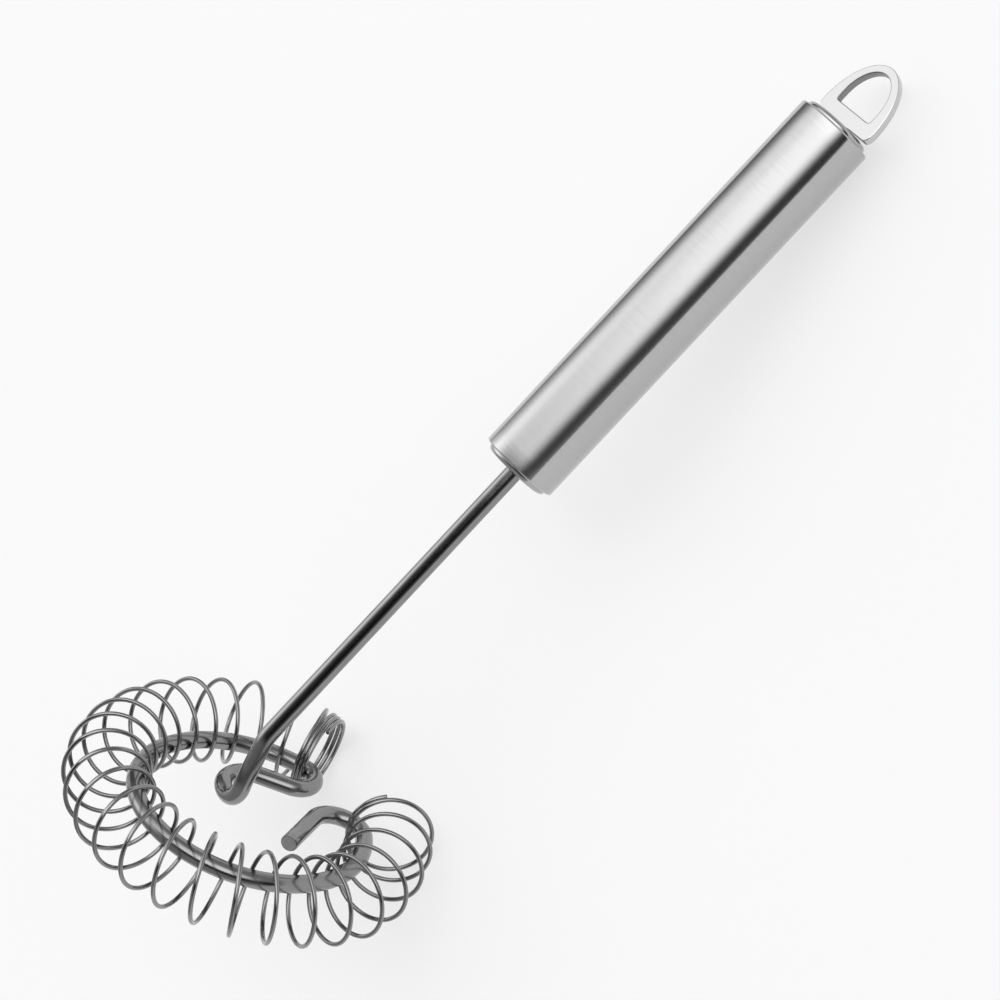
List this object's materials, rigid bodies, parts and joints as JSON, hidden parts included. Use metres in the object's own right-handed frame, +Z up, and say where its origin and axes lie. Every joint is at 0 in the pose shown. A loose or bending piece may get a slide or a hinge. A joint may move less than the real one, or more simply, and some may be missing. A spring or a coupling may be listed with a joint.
{
  "type": "whisk",
  "caption": "Whisk with a tubular steel handle, a hanging loop and a bent rod whose ring carries a loose coil spring that beats and froths liquids.",
  "frame": {"origin": "centre of the bounding box's base, on the worktop the whisk lies on", "axes": "+X along the handle towards the hanging loop, seen from above; +Z up; the ring of rod stands nearly upright at the -X end"},
  "size_m": [0.2274, 0.0844, 0.0757],
  "materials": {
    "tube_steel": "fine hairlines round the tube",
    "cap_steel": "satin",
    "loop_steel": "polished stainless steel",
    "rod_steel": "polished stainless steel with faint drawing lines",
    "spring_steel": "bright drawn spring wire",
    "weld_steel": "dull weld metal"
  },
  "bodies": {
    "handle_and_ring": {"handle_tube": "tube_steel", "front_cap": "cap_steel", "rear_cap": "cap_steel", "hanging_loop": "loop_steel", "core_wire": "rod_steel", "stem_weld": "weld_steel", "hanger_weld": "weld_steel"},
    "spring": {"coil_spring": "spring_steel"}
  },
  "joints": [
    {"name": "spring_along_ring", "type": "hinge", "parent": "handle_and_ring", "child": "spring", "pos_m": [-0.09416, 0.00002, 0.03415], "axis": [0.9558, 0.029, 0.2927], "range_deg": [-2, 7.5]}
  ]
}
